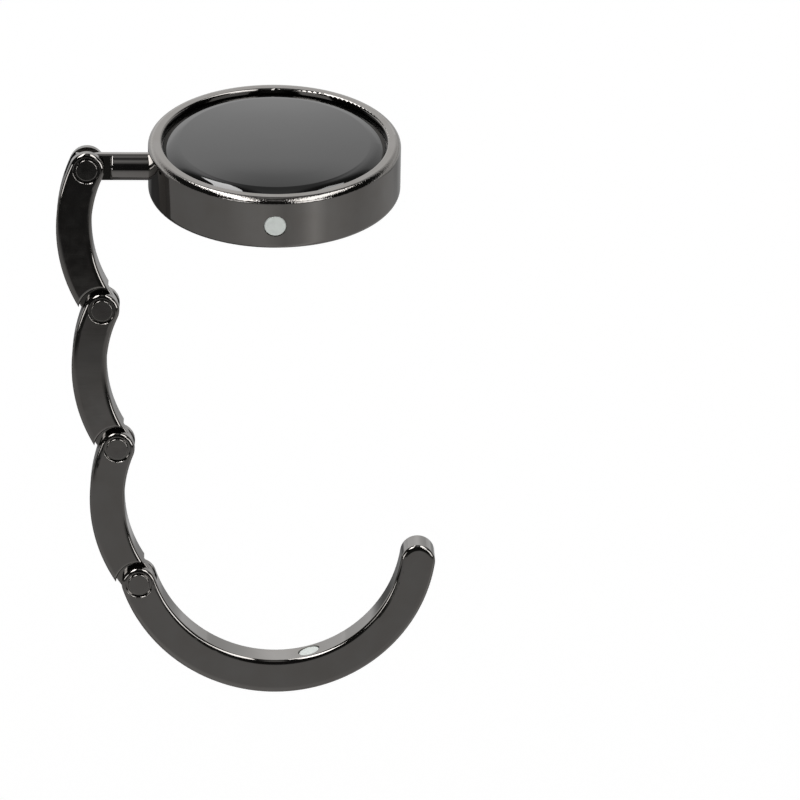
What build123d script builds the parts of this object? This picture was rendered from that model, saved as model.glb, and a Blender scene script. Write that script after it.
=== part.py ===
from build123d import *
import os
from math import asin, cos, degrees, radians, sin, sqrt

# Folding purse hook: a round disc that rests on a table, and a chain of curved links with a hook.
# Millimetres and degrees. The disc's axis is Z, the pad's underside is Z = 0, the stem points to -X.
os.makedirs("parts", exist_ok=True)

# Disc: outer radius, and the widths of its upper and lower rims
disc_radius = 17.3
disc_edge_round = 0.85
rim_width = 1.85
lower_rim_width = 1.85

# Dome and the two layers under it, in their recess
recess_lip_round = 0.25
dome_side_gap = 0.35
dome_sink = 0.87
dome_edge_thickness = 0.2
dome_crown_radius = 200.0
dome_shoulder_width = 2.0
dome_shoulder_angle = 30.0
backing_thickness = 0.25
inlay_glue_thickness = 0.1
inlay_glue_gap = 0.05
recess_floor_thickness = 0.57

# Pad, its glue and the plate that closes the disc from below
pad_proud = 0.3
pad_thickness = 0.8
pad_side_gap = 0.25
pad_edge_round = 0.25
pad_glue_thickness = 0.1
plate_thickness = 0.5
plate_gap = 0.03
plate_ledge = 0.85

# Stem, its flat end, and the metal left under and over its bore in the disc
stem_radius = 1.92
stem_end_round = 0.35
stem_tip_reach = 1.5
running_gap = 0.05
bore_floor = 0.53
bore_roof = 0.1

# Sliding shoe, washer and clip on the stem's inner end, and how far they slide
slide_travel = 5.55
guide_length = 5.9
shoe_length = 3.2
shoe_width = 5.8
shoe_gap = 0.1
shoe_edge_bevel = 0.3
neck_step = 0.55
washer_thickness = 0.3
clip_thickness = 0.4
clip_mouth_share = 0.7
groove_depth = 0.35
stem_end_length = 0.7
end_float = 0.03
rib_thickness = 1.0

# Folded ring and its links: the ring goes round the disc with a small gap
ring_gap = 0.39
band_width = 4.82
band_thickness = 4.6
band_edge_round = 0.38
band_edge_roll = 0.45
edge_roll_angle = 8.0
link_span_angle = 60.6
hook_span_angle = 153.4
fold_angles = (24.7, 60.4, 58.1, 20.2)
swing_angle = -10.74

# Knuckles
tongue_thickness = 1.7
tongue_inset = 0.12
tongue_root_share = 1.5
tongue_side_gap = 0.1
tongue_edge_round = 0.15
tongue_edge_roll = 0.1
knuckle_gap = 0.2
stop_gap = 0.05
end_arc_gap = 0.81
end_arc_round = 0.4

# Rivets
rivet_radius = 0.95
rivet_ear_gap = 0.02
rivet_head_radius = 1.5
rivet_head_thickness = 0.4
rivet_head_round = 0.13
rivet_flare_extra = 0.05
rivet_flare_length = 0.35
rivet_bore_radius = 0.55
rivet_bore_depth = 1.3
rivet_pocket_gap = 0.31
rivet_sink = 0.05
rivet_pocket_round = 0.13

# Magnets in the disc's wall and in the hook
magnet_radius = 1.5
magnet_length = 1.5
magnet_gap = 0.05
magnet_bevel = 0.12
rim_magnet_angle = 270.0
hook_magnet_lead_angle = 1.0

# How far every cutter runs past what it cuts
overrun = 1.0

# Heights of the stack, from the pad upwards
plate_bottom = pad_thickness + pad_glue_thickness
plate_top = plate_bottom + plate_thickness
stem_height = plate_top + bore_floor + running_gap + stem_radius
cavity_ceiling = stem_height + stem_radius + running_gap + bore_roof
recess_floor = cavity_ceiling + recess_floor_thickness
dome_bottom = recess_floor + inlay_glue_thickness + backing_thickness
disc_top = dome_bottom + dome_edge_thickness + dome_sink

# Radii inside the disc
recess_radius = disc_radius - rim_width
dome_radius = recess_radius - dome_side_gap
plate_radius = disc_radius - lower_rim_width
pad_radius = plate_radius - pad_side_gap
cavity_radius = plate_radius - plate_ledge
neck_radius = stem_radius - neck_step
washer_radius = cavity_ceiling - stem_height - shoe_gap
clip_radius = washer_radius - end_float

# Band and knuckle sizes that follow
band_half = band_width / 2
half_thickness = band_thickness / 2
slot_half = tongue_thickness / 2 + tongue_side_gap
tongue_half = band_half - tongue_inset
end_arc_radius = band_half + end_arc_gap
ring_radius = disc_radius + ring_gap + band_half
knuckle_out = ring_radius + slide_travel

# Rivet sizes that follow
rivet_flare_radius = rivet_head_radius + rivet_flare_extra
rivet_pocket_radius = rivet_head_radius + rivet_pocket_gap
rivet_pocket_depth = rivet_head_thickness + rivet_sink

# Places along the stem, at rest, pulled out to its stop
shoulder_x = -knuckle_out + end_arc_radius
shoe_outer_x = -disc_radius + guide_length + stop_gap
shoe_inner_x = shoe_outer_x + shoe_length
washer_outer_x = shoe_inner_x + end_float
clip_outer_x = washer_outer_x + washer_thickness + end_float
clip_inner_x = clip_outer_x + clip_thickness
stem_inner_x = clip_inner_x + end_float + stem_end_length
end_wall_x = stem_inner_x + slide_travel + knuckle_gap

# The plane that the chain hangs in: X along the stem, Z out of the front faces
swing = radians(swing_angle)
chain_plane = Plane(origin=(0, 0, stem_height), x_dir=(1, 0, 0), z_dir=(0, -cos(swing), -sin(swing)))


def disc(radius, low, high):
    """A cylinder about Z from one height to another."""
    return Pos(0, 0, low) * Cylinder(radius, high - low, align=(Align.CENTER, Align.CENTER, Align.MIN))


def block(low, high):
    """A box between two opposite corners."""
    size = [b - a for a, b in zip(low, high)]
    middle = [(a + b) / 2 for a, b in zip(low, high)]
    return Pos(*middle) * Box(*size)


def rod(radius, start, end):
    """A cylinder about X from one place to another."""
    return Pos(start, 0, 0) * Rot(0, 90, 0) * disc(radius, 0, end - start)


def half_outline(half_width, thickness, edge_round, edge_roll):
    """Half of a bar section, open at the Z axis: flat faces that roll gently off, then round corners."""
    lean = radians(edge_roll_angle)
    top = thickness / 2
    flat = half_width - edge_round * (1 - sin(lean)) - edge_roll
    roll = JernArc((flat, top), (1, 0), edge_roll / sin(lean), -edge_roll_angle)
    corner = JernArc(roll @ 1, roll % 1, edge_round, edge_roll_angle - 90)
    upper = Line((0, top), (flat, top)) + roll + corner + Line(corner @ 1, (half_width, 0))
    return upper + mirror(upper, about=Plane.XZ)


def arc_bar(start_angle, stop_angle, half_width, thickness, edge_round, edge_roll):
    """A curved bar about the ring's centre, with square ends."""
    half = half_outline(half_width, thickness, edge_round, edge_roll)
    section = Plane.XZ * Pos(ring_radius, 0) * make_face(half + mirror(half, about=Plane.YZ))
    bar = revolve(section, axis=Axis.Z, revolution_arc=stop_angle - start_angle)
    return Rot(0, 0, start_angle) * bar


def round_end(angle, turn_to, half_width, thickness, edge_round, edge_roll):
    """The half-round end of a bar at an angle on the ring: turn_to is the side it bulges to."""
    half = half_outline(half_width, thickness, edge_round, edge_roll)
    section = Plane.XZ * make_face(half + Line((0, -thickness / 2), (0, thickness / 2)))
    end = revolve(section, axis=Axis.Z, revolution_arc=180)
    start = 0 if turn_to > 0 else 180
    return Rot(0, 0, angle) * Pos(ring_radius, 0, 0) * Rot(0, 0, start) * end


def knuckle_place(angle):
    """The place of a knuckle on the ring: X outwards, Y along the chain."""
    return Rot(0, 0, angle) * Pos(ring_radius, 0, 0)


def hole_cutter(radius, floor, top, edge_round):
    """Cuts a round hole from its floor up through a face, and rounds the edge that it leaves there."""
    side = top - edge_round
    wide = radius + edge_round
    reach = top + overrun
    outline = Polyline((wide, top), (wide, reach), (0, reach), (0, floor), (radius, floor), (radius, side))
    outline += RadiusArc((radius, side), (wide, top), edge_round)
    return revolve(Plane.XZ * make_face(outline), axis=Axis.Z)


def end_arc_cutter():
    """Cuts a bar's full thickness away round the next knuckle, and rounds the edges that it leaves."""
    upper = hole_cutter(end_arc_radius, 0, half_thickness, end_arc_round)
    return upper + mirror(upper, about=Plane.XY)


def ear_bores():
    """The rivet's bore through both ears, with a pocket at each end."""
    floor = half_thickness - rivet_pocket_depth
    cutter = disc(rivet_radius + rivet_ear_gap, -half_thickness - overrun, half_thickness + overrun)
    pocket = hole_cutter(rivet_pocket_radius, floor, half_thickness, rivet_pocket_round)
    return cutter + pocket + mirror(pocket, about=Plane.XY)


def stem_slot():
    """The slot for the stem's flat end: its floor stops the end's corner when the hook is open."""
    opened = radians(fold_angles[0])
    floor = stem_radius * cos(opened) + stem_tip_reach * sin(opened) + stop_gap
    reach = band_half + overrun
    return block((-reach, -reach, -slot_half), (reach, floor, slot_half))


def link_slot(fold_angle):
    """The slot for a link's tongue: a round floor, and a flat that stops the tongue when open."""
    reach = band_half + overrun
    round_floor = disc(tongue_half + knuckle_gap, -slot_half, slot_half)
    seat = block((0, -2 * reach, -slot_half), (tongue_half + stop_gap, 0, slot_half))
    return round_floor + Rot(0, 0, fold_angle) * seat


def link(fold_angle, is_first):
    """One short link: two ears with a slot at the start, a tongue at the end."""
    body = arc_bar(0, link_span_angle, band_half, band_thickness, band_edge_round, band_edge_roll)
    body += round_end(0, -1, band_half, band_thickness, band_edge_round, band_edge_roll)
    body -= knuckle_place(link_span_angle) * end_arc_cutter()
    root_angle = link_span_angle - tongue_root_share * degrees(asin(end_arc_radius / ring_radius))
    tongue = arc_bar(root_angle, link_span_angle, tongue_half, tongue_thickness,
                     tongue_edge_round, tongue_edge_roll)
    tongue += round_end(link_span_angle, 1, tongue_half, tongue_thickness,
                        tongue_edge_round, tongue_edge_roll)
    bore = disc(rivet_radius + running_gap, -half_thickness, half_thickness)
    body += tongue - knuckle_place(link_span_angle) * bore
    body -= knuckle_place(0) * (stem_slot() if is_first else link_slot(fold_angle))
    body -= knuckle_place(0) * ear_bores()
    return body


def hook():
    """The long hook link: ears at the start, a round tip, a magnet pocket in the inner face."""
    body = arc_bar(0, hook_span_angle, band_half, band_thickness, band_edge_round, band_edge_roll)
    body += round_end(0, -1, band_half, band_thickness, band_edge_round, band_edge_roll)
    body += round_end(hook_span_angle, 1, band_half, band_thickness, band_edge_round, band_edge_roll)
    body -= knuckle_place(0) * link_slot(fold_angles[3])
    body -= knuckle_place(0) * ear_bores()
    pocket = rod(magnet_radius + magnet_gap, ring_radius - band_width, hook_magnet_face + magnet_length)
    return body - Rot(0, 0, hook_magnet_angle) * pocket


def rivet():
    """A rivet with a flat head in front, and a hollow, flared tail behind."""
    front = half_thickness - rivet_pocket_depth
    head_top = front + rivet_head_thickness
    flare_start = -front
    tail = flare_start - rivet_flare_length
    bore_end = tail + rivet_bore_depth
    lip = rivet_flare_radius - rivet_head_round
    head_flat = rivet_head_radius - rivet_head_round
    head_side = head_top - rivet_head_round
    outline = Polyline((0, head_top), (0, bore_end), (rivet_bore_radius, bore_end),
                       (rivet_bore_radius, flare_start), (lip, tail),
                       (rivet_flare_radius, tail + rivet_head_round), (rivet_radius, flare_start),
                       (rivet_radius, front), (rivet_head_radius, front), (rivet_head_radius, head_side))
    outline += RadiusArc((rivet_head_radius, head_side), (head_flat, head_top), -rivet_head_round)
    outline += Line((head_flat, head_top), (0, head_top))
    return revolve(Plane.XZ * make_face(outline), axis=Axis.Z)


def magnet():
    """A magnet along X, its bevelled face at X = 0 and its body behind it."""
    body = disc(magnet_radius, 0, magnet_length)
    return Rot(0, 90, 0) * chamfer(body.edges().filter_by(GeomType.CIRCLE), magnet_bevel)


def flat_face_depth(radius):
    """How far a flat magnet face lies inside a round wall of this radius, to be flush at its edge."""
    return radius - sqrt(radius ** 2 - magnet_radius ** 2)


def disc_housing():
    """The cast disc: a recess on top, a hollow below with the stem's guide and the shoe's track."""
    body = disc(disc_radius, pad_proud, disc_top)
    body = fillet(body.edges().filter_by(GeomType.CIRCLE), disc_edge_round)
    body -= hole_cutter(recess_radius, recess_floor, disc_top, recess_lip_round)
    body -= disc(plate_radius, -overrun, plate_top)
    hollow = disc(cavity_radius, plate_top, cavity_ceiling)
    track_half = shoe_width / 2 + shoe_gap
    guide_end = shoe_outer_x - stop_gap
    guide = block((-disc_radius, -track_half - rib_thickness, plate_top),
                  (guide_end, track_half + rib_thickness, cavity_ceiling))
    track = block((guide_end, -track_half - rib_thickness, plate_top),
                  (end_wall_x + rib_thickness, track_half + rib_thickness, cavity_ceiling))
    track -= block((guide_end, -track_half, plate_top), (end_wall_x, track_half, cavity_ceiling))
    body -= hollow - guide - track
    body -= Pos(0, 0, stem_height) * rod(stem_radius + running_gap, -disc_radius - overrun, guide_end)
    pocket_floor = rim_magnet_face - magnet_length
    pocket = rod(magnet_radius + magnet_gap, pocket_floor, disc_radius + overrun)
    return body - Pos(0, 0, rim_magnet_height) * Rot(0, 0, rim_magnet_angle) * pocket


def dome():
    """The clear dome: a nearly flat crown, and a round shoulder down to a short upright edge."""
    edge_top = dome_bottom + dome_edge_thickness
    shoulder_lean = radians(dome_shoulder_angle)
    crown_lean = asin((dome_radius - dome_shoulder_width) / dome_crown_radius)
    shoulder_radius = dome_shoulder_width / (sin(shoulder_lean) - sin(crown_lean))
    shoulder_drop = shoulder_radius * (cos(crown_lean) - cos(shoulder_lean))
    crown_top = edge_top + shoulder_drop + dome_crown_radius * (1 - cos(crown_lean))
    crown = JernArc((0, crown_top), (1, 0), dome_crown_radius, -degrees(crown_lean))
    shoulder = JernArc(crown @ 1, crown % 1, shoulder_radius, degrees(crown_lean) - dome_shoulder_angle)
    side = Polyline(shoulder @ 1, (dome_radius, dome_bottom), (0, dome_bottom), (0, crown_top))
    return revolve(Plane.XZ * make_face(crown + shoulder + side), axis=Axis.Z)


def grip_pad():
    """The soft pad that rests on the table, with a rounded lower edge."""
    pad = disc(pad_radius, 0, pad_thickness)
    return fillet(pad.edges().filter_by(GeomType.CIRCLE).sort_by(Axis.Z)[:1], pad_edge_round)


def slide_shoe():
    """The block that slides in the disc and carries the turning stem."""
    low = (shoe_outer_x, -shoe_width / 2, plate_top + shoe_gap)
    high = (shoe_inner_x, shoe_width / 2, cavity_ceiling - shoe_gap)
    shoe = block(low, high)
    shoe = chamfer(shoe.edges().filter_by(Axis.X), shoe_edge_bevel)
    return shoe - Pos(0, 0, stem_height) * rod(neck_radius + running_gap, shoe_outer_x - overrun,
                                               shoe_inner_x + overrun)


def swivel_stem():
    """The round stem: a flat end for the first knuckle, a thinner neck with a clip groove inside."""
    tip_x = -knuckle_out - stem_tip_reach
    body = rod(stem_radius, shoulder_x, shoe_outer_x - end_float)
    body = fillet(body.edges().filter_by(GeomType.CIRCLE).sort_by(Axis.X)[:1], stem_end_round)
    flat_end = rod(stem_radius, tip_x, shoulder_x + stem_end_round + overrun)
    slab = block((tip_x - overrun, -band_width, -tongue_thickness / 2), (0, band_width, tongue_thickness / 2))
    body += flat_end & slab
    body -= Pos(-knuckle_out, 0, 0) * disc(rivet_radius + running_gap, -half_thickness, half_thickness)
    body += rod(neck_radius, shoe_outer_x - end_float, clip_outer_x - end_float)
    body += rod(neck_radius - groove_depth, clip_outer_x - end_float, clip_inner_x + end_float)
    end = rod(neck_radius, clip_inner_x + end_float, stem_inner_x)
    return body + chamfer(end.edges().filter_by(GeomType.CIRCLE).sort_by(Axis.X)[-1:], groove_depth / 2)


def thrust_washer():
    """The thin washer between the shoe and the clip."""
    inner_x = washer_outer_x + washer_thickness
    hole = rod(neck_radius + running_gap, washer_outer_x, inner_x)
    return rod(washer_radius, washer_outer_x, inner_x) - hole


def stem_clip():
    """The open clip in the stem's groove."""
    bore = neck_radius - groove_depth + rivet_ear_gap
    ring = rod(clip_radius, clip_outer_x, clip_inner_x) - rod(bore, clip_outer_x, clip_inner_x)
    mouth = bore * clip_mouth_share
    return ring - block((clip_outer_x, -mouth, -clip_radius), (clip_inner_x, mouth, 0))


# Magnets: the hook's one comes to the rim's one when the ring is folded round the disc
rim_magnet_face = disc_radius - flat_face_depth(disc_radius)
rim_magnet_height = stem_height
hook_inner_radius = ring_radius - band_half
hook_magnet_face = hook_inner_radius + flat_face_depth(hook_inner_radius)
hook_magnet_angle = rim_magnet_angle - hook_magnet_lead_angle - 3 * link_span_angle

# Places of the links: each turns on from the one before, less the angle that its knuckle is open
link_turns = []
knuckles = [(-knuckle_out, 0)]
turn = 0
for fold_angle in fold_angles:
    turn -= fold_angle
    link_turns.append(turn)
    heading = radians(180 + turn)
    centre_x = knuckles[-1][0] - ring_radius * cos(heading)
    centre_y = knuckles[-1][1] - ring_radius * sin(heading)
    next_heading = heading + radians(link_span_angle)
    knuckles.append((centre_x + ring_radius * cos(next_heading), centre_y + ring_radius * sin(next_heading)))
    turn += link_span_angle


def on_chain(number, piece):
    """Moves a piece from the ring's own frame to a link's place in the hanging chain."""
    x, y = knuckles[number]
    heading = 180 + link_turns[number]
    return chain_plane.location * Pos(x, y, 0) * Rot(0, 0, heading) * Pos(-ring_radius, 0, 0) * piece


def write(name, piece):
    """Writes one piece under its own name."""
    export_step(piece, "parts/" + name + ".step")


write("disc_housing", disc_housing())
write("inlay_glue", disc(recess_radius - inlay_glue_gap, recess_floor, recess_floor + inlay_glue_thickness))
write("inlay_backing", disc(dome_radius, dome_bottom - backing_thickness, dome_bottom))
write("dome_inlay", dome())
write("back_plate", disc(plate_radius - plate_gap, plate_bottom, plate_top))
write("pad_glue", disc(pad_radius, pad_thickness, plate_bottom))
write("grip_pad", grip_pad())
write("rim_magnet", Rot(0, 0, rim_magnet_angle) * Pos(rim_magnet_face, 0, rim_magnet_height)
      * Rot(0, 0, 180) * magnet())
write("slide_shoe", slide_shoe())
write("swivel_stem", chain_plane.location * swivel_stem())
write("thrust_washer", chain_plane.location * thrust_washer())
write("stem_clip", chain_plane.location * stem_clip())
for number in range(3):
    write(f"link_{number + 1}", on_chain(number, link(fold_angles[number], number == 0)))
write("hook_link", on_chain(3, hook()))
write("hook_magnet", on_chain(3, Rot(0, 0, hook_magnet_angle) * Pos(hook_magnet_face, 0, 0) * magnet()))
for number in range(4):
    write(f"rivet_{number + 1}", on_chain(number, knuckle_place(0) * rivet()))
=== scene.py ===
import math
import bpy
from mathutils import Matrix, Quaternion, Vector


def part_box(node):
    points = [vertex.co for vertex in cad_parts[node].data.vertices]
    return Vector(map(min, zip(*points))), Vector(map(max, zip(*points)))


# Folding purse hook, dressed: dark gunmetal plating, a glossy black dome, bare magnets and a rubber pad.
# Everything is in metres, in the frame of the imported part
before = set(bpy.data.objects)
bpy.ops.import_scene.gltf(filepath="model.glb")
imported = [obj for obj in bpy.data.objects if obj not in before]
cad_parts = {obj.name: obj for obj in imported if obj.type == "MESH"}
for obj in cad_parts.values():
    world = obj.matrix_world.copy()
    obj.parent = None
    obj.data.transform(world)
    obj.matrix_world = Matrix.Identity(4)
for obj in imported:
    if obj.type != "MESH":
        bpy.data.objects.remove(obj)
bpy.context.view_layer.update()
MM = 0.001
white = (1, 1, 1, 1)

# Camera, as the photograph was taken: a long lens, 30 degrees above the horizon
camera_place = Vector((-6.82, -760.9, 404.76)) * MM
camera_target = Vector((17.77, 0, -32.94)) * MM
camera_roll = math.radians(-1.02)
camera_lens = 282.4
camera_sensor = 36
camera_clip = (0.01, 50)

# The studio: a pale floor well below the hanging hook, in a room that lights both evenly
floor_height = -200 * MM
floor_size = 12
paper = (0.92, 0.92, 0.91, 1)
room_light = 0.8

# The part of a noise's values that is spread over a tone or a roughness
noise_low = 0.3
noise_high = 0.7

# Noises of the materials: cells in a metre, and octaves
grains = {
    "plating_cloud": (260, 3),
    "plating_haze": (700, 4),
    "plating_swell": (190, 1),
    "plating_scratch": (2600, 3),
    "rim_pits": (4500, 2),
    "resin_cloud": (90, 2),
    "resin_swell": (70, 1),
    "nickel_tint": (1500, 3),
    "nickel_haze": (2200, 2),
    "nickel_grain": (3000, 2),
    "rubber_tint": (900, 4),
    "rubber_grain": (2500, 3),
    "plain_tint": (1200, 3),
    "plain_haze": (1800, 3),
    "plain_grain": (2600, 2)}

# Reliefs of the materials: depth and strength
reliefs = {
    "plating": (0.01 * MM, 1.0),
    "resin": (0.01 * MM, 0.3),
    "nickel": (0.01 * MM, 0.4),
    "rubber": (0.05 * MM, 0.5),
    "plain": (0.01 * MM, 0.4)}

# The plating: tints as shares of its grey, with their warmth, and how the scratches run beside the swell
plating_tint_shares = ((0.95, 0.06), (1.05, 0.04))
scratch_stretch = (0.15, 1.0, 1.0)
scratch_share = 0.05

# The pitted skin of the casting on the rim's upper edge: how far it reaches, and its depth beside the swell
rim_skin_width = 0.9 * MM
rim_skin_share = 2.5

# The dome's resin (greys with their warmth), the magnets' nickel (tints) and the pad's rubber (greys)
resin_tints = ((0.004, -0.02), (0.007, 0.02))
resin_rough = 0.03
resin_ior = 1.55
nickel_tints = ((0.70, 0.74, 0.71, 1), (0.78, 0.82, 0.79, 1))
nickel_rough = (0.32, 0.5)
nickel_metal = 0.35
rubber_greys = (0.018, 0.035)
rubber_rough = 0.75

# Plated pieces: grey, lowest and highest roughness
plated_looks = {
    "gunmetal_surface": (0.2, 0.04, 0.09),
    "rim_surface": (0.2, 0.04, 0.09),
    "rivet_surface": (0.19, 0.07, 0.14)}

# Inner pieces: node, grey, warmth, metal and roughness, and the shares that their tone and roughness vary by
plain_looks = {
    "film_surface": ("inlay_backing", 0.03, 0, 0, 0.5),
    # The inlay glue's near-black grey is partly its own colour and partly painted shade: it darkens the
    # narrow gap between the dome and the rim's wall
    "dark_glue_gap_shade_surface": ("inlay_glue", 0.012, 0, 0, 0.5),
    "glue_surface": ("pad_glue", 0.7, 0.05, 0, 0.6),
    "plate_surface": ("back_plate", 0.55, 0, 1, 0.35),
    "nylon_surface": ("slide_shoe", 0.75, 0.04, 0, 0.45),
    "brass_surface": ("thrust_washer", 0.5, 0.3, 1, 0.3),
    "spring_steel_surface": ("stem_clip", 0.35, 0, 1, 0.3)}
plain_tint_share = 0.9
plain_rough_shares = (0.8, 1.2)

# What polished metal sees of the floor: grey tones by the distance behind the object
floor_tones = [
    (-6.0, 0.02), (-1.48, 0.035), (-1.41, 0.1), (-1.36, 0.18), (-1.24, 0.2), (-1.17, 0.29), (-1.12, 0.32),
    (-0.95, 0.33), (-0.86, 0.33), (0.2, 0.38), (0.27, 0.36), (0.34, 0.2), (0.45, 0.33), (0.62, 0.78),
    (6.0, 0.85)]

# These multiply those tones, by the bearing round the object in degrees from the viewer's side. They fade in
# over the near places and out over the places behind
bearing_tones = [
    (-180, 0.62), (-158, 0.6), (-148, 0.2), (-119, 0.15), (-112, 0.85), (-80, 0.95), (-45, 1.07), (-26, 1.3),
    (-10, 1.4), (10, 1.05), (24, 1.35), (36, 2.0), (48, 1.4), (80, 1.1), (117, 1.25), (140, 1.2), (152, 1.4),
    (172, 1.6), (178, 0.7), (180, 0.62)]
near_places = (-0.68, -0.45)
behind_places = (0.4, 0.55)

# And of the room: grey tones by the pitch of the line of sight, 0 to the viewer, 90 overhead, 180 behind.
# Straight ahead a grey ceiling shows between the dark front and the big light behind, and aside there is none
room_tones = [
    (-180, 1.0), (-165, 0.9), (-90, 0.4), (-10, 0.02), (42, 0.02), (46, 0.08), (54, 0.25), (62, 0.42),
    (70, 0.45), (79, 0.25), (86, 0.06), (97, 0.1), (105, 0.36), (112, 0.42), (122, 0.36), (133, 0.25),
    (140, 0.25), (143.5, 0.45), (145.5, 0.7), (147, 1.1), (148.5, 1.3), (157, 1.36), (162, 1.6), (167, 1.4),
    (172, 1.02), (180, 0.95)]
aside_tones = [
    (-180, 1.0), (-165, 0.9), (-90, 0.4), (-10, 0.02), (124, 0.02), (131, 0.1), (135, 0.5), (138, 0.95),
    (142, 1.12), (149, 1.28), (157, 1.36), (160, 1.6), (167, 1.35), (172, 1.02), (180, 0.95)]

# Sideways shares of the line of sight: the ceiling's middle, and the half widths between which it fades out
ceiling_middle = 0.02
ceiling_half_widths = (0.07, 0.14)
# To the right the room's light falls off between these places, down to this share
right_fall_places = (0.02, 0.32)
right_fall_share = 0.68

# Two lamps above the object, left and right of the viewer's line: strength, and corners at their height
high_lamp_height = 1.0
high_lamps = {
    "left_lamp": (8, ((-0.158, 0.85), (-0.17, 0.46), (-0.3, -0.6), (-0.5, -1.5), (-1.0, -1.5), (-0.352, 0.59),
                      (-0.34, 0.88))),
    "right_lamp": (5, ((0.3, 0.56), (0.25, 0.3), (0.24, -0.55), (0.5, -1.5), (1.15, -1.5), (0.44, 0.6)))}

# Two upright lamps low in front of it: strength, inner and outer edge, lower and upper edge
low_lamp_place = -0.9
low_lamps = {
    "low_left_lamp": (3.5, (-0.3, -0.9), (-0.03, 0.12)),
    "low_right_lamp": (4, (0.3, 0.9), (-0.04, 0.4))}


def color_of(grey, warm=0.0):
    """A grey with a slight warm or cool cast."""
    return (grey * (1 + warm), grey, grey * (1 - warm), 1)


class Shader:
    """A short way to add and join the nodes of one node tree."""

    def __init__(self, tree):
        self.tree = tree

    def add(self, kind, **values):
        """Adds a node, with the values of its sockets and settings."""
        node = self.tree.nodes.new(kind)
        for name, value in values.items():
            if name in node.inputs:
                node.inputs[name].default_value = value
            else:
                setattr(node, name, value)
        return node

    def join(self, source, target):
        """Links an output to an input."""
        self.tree.links.new(source, target)

    def math(self, operation, *terms):
        """One operation on numbers or outputs."""
        node = self.add("ShaderNodeMath", operation=operation)
        for socket, term in zip(node.inputs, terms):
            if isinstance(term, (int, float)):
                socket.default_value = term
            else:
                self.join(term, socket)
        return node.outputs[0]

    def ramp(self, source, stops):
        """Colours of a value, from pairs of a place and a colour."""
        node = self.add("ShaderNodeValToRGB")
        elements = node.color_ramp.elements
        # New elements get their places below
        while len(elements) < len(stops):
            elements.new(0.5)
        for element, (place, color) in zip(elements, stops):
            element.position = place
            element.color = color
        self.join(source, node.inputs[0])
        return node.outputs[0]

    def span(self, source, low, high, to_low, to_high):
        """Spreads the values between low and high over others."""
        node = self.add("ShaderNodeMapRange")
        for socket, value in zip(node.inputs[1:5], (low, high, to_low, to_high)):
            socket.default_value = value
        self.join(source, node.inputs[0])
        return node.outputs[0]

    def noise(self, grain, stretch=None):
        """One of the grains, fixed to the object."""
        coordinates = self.add("ShaderNodeTexCoord").outputs["Object"]
        if stretch:
            mapping = self.add("ShaderNodeMapping", Scale=stretch)
            self.join(coordinates, mapping.inputs["Vector"])
            coordinates = mapping.outputs[0]
        scale, detail = grains[grain]
        node = self.add("ShaderNodeTexNoise", Scale=scale, Detail=detail)
        self.join(coordinates, node.inputs["Vector"])
        return node.outputs["Fac"]

    def turn(self, across, along):
        """The angle from the viewer's side, as a share of the full turn that starts and ends behind."""
        angle = self.math("ARCTAN2", across, self.math("MULTIPLY", along, -1.0))
        return self.span(angle, -math.pi, math.pi, 0, 1)


class Surface(Shader):
    """A material, with the means to vary its colour, its roughness and its relief."""

    def __init__(self, name, **constants):
        self.material = bpy.data.materials.new(name)
        self.material.use_nodes = True
        super().__init__(self.material.node_tree)
        self.base = self.tree.nodes["Principled BSDF"]
        for socket, value in constants.items():
            self.base.inputs[socket].default_value = value

    def tint(self, grain, low, high):
        """Clouds the base colour."""
        stops = [(noise_low, low), (noise_high, high)]
        self.join(self.ramp(self.noise(grain), stops), self.base.inputs["Base Color"])

    def haze(self, grain, low, high):
        """Varies the roughness."""
        rough = self.span(self.noise(grain), noise_low, noise_high, low, high)
        self.join(rough, self.base.inputs["Roughness"])

    def bump(self, height, relief):
        """Lays a height field on the surface."""
        depth, strength = reliefs[relief]
        node = self.add("ShaderNodeBump", Distance=depth, Strength=strength)
        self.join(height, node.inputs["Height"])
        self.join(node.outputs[0], self.base.inputs["Normal"])


def plating(name, skin=None):
    """Polished casting with a dark plating: faint cloudiness, the swell of the polishing, fine scratches."""
    grey, low_rough, high_rough = plated_looks[name]
    surface = Surface(name, Metallic=1.0)
    surface.tint("plating_cloud", *[color_of(grey * share, warm) for share, warm in plating_tint_shares])
    surface.haze("plating_haze", low_rough, high_rough)
    scratch = surface.noise("plating_scratch", scratch_stretch)
    scratches = surface.math("MULTIPLY", scratch, scratch_share)
    height = surface.math("ADD", surface.noise("plating_swell"), scratches)
    if skin:
        height = surface.math("ADD", height, skin(surface))
    surface.bump(height, "plating")
    return surface.material


def rim_skin(surface):
    """The slightly pitted skin of the casting on the disc's rounded upper edge."""
    place = surface.add("ShaderNodeSeparateXYZ")
    surface.join(surface.add("ShaderNodeTexCoord").outputs["Generated"], place.inputs[0])
    middle = 0.5
    across = [surface.math("SUBTRACT", place.outputs[axis], middle) for axis in ("X", "Y")]
    squares = [surface.math("MULTIPLY", value, value) for value in across]
    radius = surface.math("SQRT", surface.math("ADD", *squares))
    low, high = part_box("disc_housing")
    edge = rim_skin_width / (high[0] - low[0])
    drop = rim_skin_width / (high[2] - low[2])
    outer = surface.span(radius, middle - edge, middle - edge / 2, 0, 1)
    upper = surface.span(place.outputs["Z"], 1 - drop, 1 - drop / 2, 0, 1)
    pits = surface.math("MULTIPLY", surface.noise("rim_pits"), rim_skin_share)
    return surface.math("MULTIPLY", surface.math("MULTIPLY", outer, upper), pits)


def dome_resin():
    """Black resin, glossy, with a very slight swell from casting."""
    surface = Surface("dome_resin_surface", Roughness=resin_rough, IOR=resin_ior)
    surface.tint("resin_cloud", *[color_of(grey, warm) for grey, warm in resin_tints])
    surface.bump(surface.noise("resin_swell"), "resin")
    return surface.material


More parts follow.
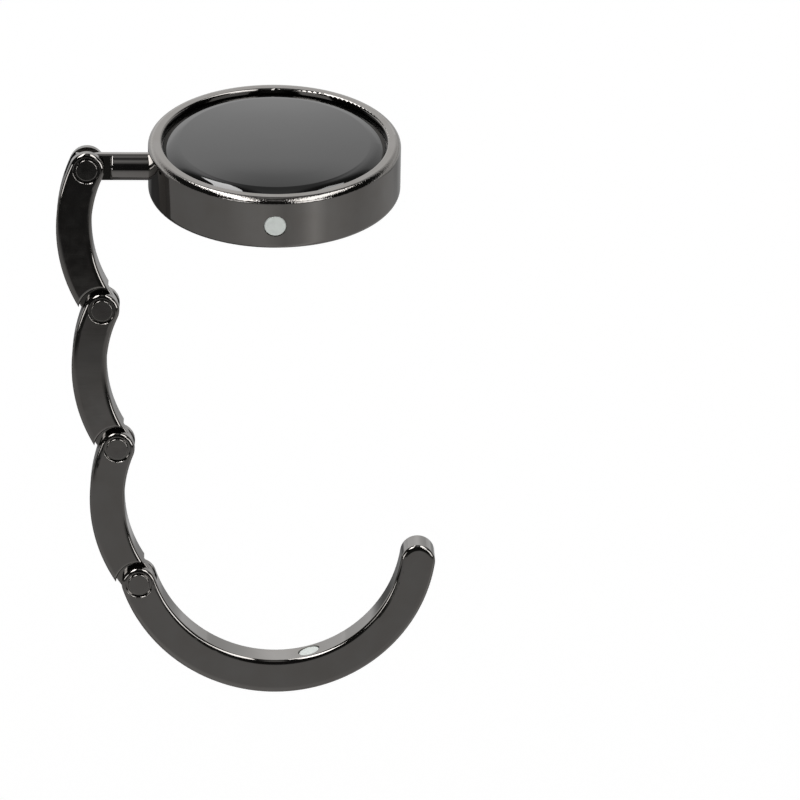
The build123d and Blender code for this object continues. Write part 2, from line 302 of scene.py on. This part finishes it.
def magnet_nickel():
    """Dull nickel over a magnet, with a fine turned grain."""
    surface = Surface("magnet_surface", Metallic=nickel_metal)
    surface.tint("nickel_tint", *nickel_tints)
    surface.haze("nickel_haze", *nickel_rough)
    surface.bump(surface.noise("nickel_grain"), "nickel")
    return surface.material


def pad_rubber():
    """Matt black rubber with a fine moulded grain."""
    surface = Surface("pad_surface", Roughness=rubber_rough)
    surface.tint("rubber_tint", *[color_of(grey) for grey in rubber_greys])
    surface.bump(surface.noise("rubber_grain"), "rubber")
    return surface.material


def plain_material(name, grey, warm, metal, rough):
    """A simple inner material: an even tone with a fine grain."""
    surface = Surface(name, Metallic=metal)
    surface.tint("plain_tint", color_of(grey * plain_tint_share, warm), color_of(grey, warm))
    surface.haze("plain_haze", *[rough * share for share in plain_rough_shares])
    surface.bump(surface.noise("plain_grain"), "plain")
    return surface.material


def dress(material, *nodes):
    """Gives CAD nodes a material."""
    for name in nodes:
        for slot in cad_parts[name].material_slots:
            slot.material = material


def dress_all():
    """Gives every CAD node its material."""
    dress(plating("gunmetal_surface"), "swivel_stem", "link_1", "link_2", "link_3", "hook_link")
    dress(plating("rim_surface", rim_skin), "disc_housing")
    dress(plating("rivet_surface"), "rivet_1", "rivet_2", "rivet_3", "rivet_4")
    dress(dome_resin(), "dome_inlay")
    dress(magnet_nickel(), "rim_magnet", "hook_magnet")
    dress(pad_rubber(), "grip_pad")
    for name, (node, *look) in plain_looks.items():
        dress(plain_material(name, *look), node)


def by_ray(shader, output, soft, seen, plain):
    """Joins three looks by the kind of ray: plain for the camera's, seen for glossy ones, or soft."""
    path = shader.add("ShaderNodeLightPath")
    glossy = shader.add("ShaderNodeMixShader")
    shader.join(path.outputs["Is Glossy Ray"], glossy.inputs[0])
    shader.join(soft.outputs[0], glossy.inputs[1])
    shader.join(seen.outputs[0], glossy.inputs[2])
    camera = shader.add("ShaderNodeMixShader")
    shader.join(path.outputs["Is Camera Ray"], camera.inputs[0])
    shader.join(glossy.outputs[0], camera.inputs[1])
    shader.join(plain.outputs[0], camera.inputs[2])
    shader.join(camera.outputs[0], output.inputs[0])


def tone_stops(tones):
    """Stops of a colour ramp from pairs of a place and a grey, in the places' order."""
    start = tones[0][0]
    end = tones[-1][0]
    return [((place - start) / (end - start), color_of(grey)) for place, grey in tones]


def empty_material(name):
    """A new material without nodes, and the means to add them."""
    material = bpy.data.materials.new(name)
    material.use_nodes = True
    material.node_tree.nodes.clear()
    return material, Shader(material.node_tree)


def make_floor():
    """The floor: to the camera white but for the object's shadow, to polished metal graded grey."""
    bpy.ops.mesh.primitive_plane_add(size=floor_size, location=(0, 0, floor_height))
    floor = bpy.context.object
    floor.name = "floor"
    material, shader = empty_material("floor_paper")
    floor.data.materials.append(material)
    place = shader.add("ShaderNodeSeparateXYZ")
    shader.join(shader.add("ShaderNodeNewGeometry").outputs["Position"], place.inputs[0])
    side, behind = place.outputs["X"], place.outputs["Y"]
    along = shader.span(behind, floor_tones[0][0], floor_tones[-1][0], 0, 1)
    tone = shader.ramp(along, tone_stops(floor_tones))
    round_about = shader.ramp(shader.turn(side, behind), tone_stops(bearing_tones))
    fade_in = shader.span(behind, *near_places, 0, 1)
    fade_out = shader.span(behind, *behind_places, 1, 0)
    change = shader.math("SUBTRACT", round_about, 1.0)
    change = shader.math("MULTIPLY", shader.math("MULTIPLY", fade_in, fade_out), change)
    seen = shader.add("ShaderNodeEmission")
    shader.join(tone, seen.inputs["Color"])
    shader.join(shader.math("ADD", 1.0, change), seen.inputs["Strength"])
    soft = shader.add("ShaderNodeBsdfDiffuse", Color=paper)
    # What the lit paper lacks of white
    missing = tuple(1 - room_light * channel for channel in paper[:3]) + (1,)
    fill = shader.add("ShaderNodeEmission", Color=missing, Strength=1.0)
    plain = shader.add("ShaderNodeAddShader")
    shader.join(soft.outputs[0], plain.inputs[0])
    shader.join(fill.outputs[0], plain.inputs[1])
    by_ray(shader, shader.add("ShaderNodeOutputMaterial"), soft, seen, plain)


def make_world():
    """The room: white to the camera. To polished metal it is bright behind and dark on the viewer's side."""
    world = bpy.data.worlds.new("room")
    bpy.context.scene.world = world
    world.use_nodes = True
    world.node_tree.nodes.clear()
    shader = Shader(world.node_tree)
    direction = shader.add("ShaderNodeSeparateXYZ")
    shader.join(shader.add("ShaderNodeTexCoord").outputs["Generated"], direction.inputs[0])
    side = direction.outputs["X"]
    pitch = shader.turn(direction.outputs["Z"], direction.outputs["Y"])
    aside = shader.math("ABSOLUTE", shader.math("SUBTRACT", side, ceiling_middle))
    # The colour form of the node takes its factor at input 0 and its colours at 6 and 7, and gives output 2
    tone = shader.add("ShaderNodeMix", data_type="RGBA")
    shader.join(shader.span(aside, *ceiling_half_widths, 0, 1), tone.inputs[0])
    shader.join(shader.ramp(pitch, tone_stops(room_tones)), tone.inputs[6])
    shader.join(shader.ramp(pitch, tone_stops(aside_tones)), tone.inputs[7])
    seen = shader.add("ShaderNodeBackground")
    shader.join(tone.outputs[2], seen.inputs["Color"])
    shader.join(shader.span(side, *right_fall_places, 1, right_fall_share), seen.inputs["Strength"])
    soft = shader.add("ShaderNodeBackground", Color=white, Strength=room_light)
    plain = shader.add("ShaderNodeBackground", Color=white, Strength=1.0)
    by_ray(shader, shader.add("ShaderNodeOutputWorld"), soft, seen, plain)


def make_lamp(name, strength, corners):
    """A bright panel, seen by polished metal only."""
    mesh = bpy.data.meshes.new(name)
    mesh.from_pydata(corners, [], [tuple(range(len(corners)))])
    lamp = bpy.data.objects.new(name, mesh)
    bpy.context.scene.collection.objects.link(lamp)
    material, shader = empty_material(name)
    glow = shader.add("ShaderNodeEmission", Color=white, Strength=strength)
    shader.join(glow.outputs[0], shader.add("ShaderNodeOutputMaterial").inputs[0])
    mesh.materials.append(material)
    lamp.visible_camera = False
    lamp.visible_diffuse = False
    lamp.visible_shadow = False


def make_lamps():
    """The four soft lamps."""
    for name, (strength, outline) in high_lamps.items():
        make_lamp(name, strength, [(x, y, high_lamp_height) for x, y in outline])
    for name, (strength, (inner, outer), (lower, upper)) in low_lamps.items():
        outline = ((inner, lower), (outer, lower), (outer, upper), (inner, upper))
        make_lamp(name, strength, [(x, low_lamp_place, z) for x, z in outline])


def make_camera():
    """The camera, looking from its place to its target."""
    data = bpy.data.cameras.new("camera")
    camera = bpy.data.objects.new("camera", data)
    bpy.context.scene.collection.objects.link(camera)
    camera.location = camera_place
    aim = (camera_target - camera_place).to_track_quat("-Z", "Y")
    camera.rotation_mode = "QUATERNION"
    camera.rotation_quaternion = aim @ Quaternion((0, 0, 1), -camera_roll)
    data.lens = camera_lens
    data.sensor_width = camera_sensor
    data.clip_start, data.clip_end = camera_clip
    bpy.context.scene.camera = camera


make_camera()
make_world()
make_floor()
make_lamps()
dress_all()
bpy.context.scene.view_settings.view_transform = "Standard"
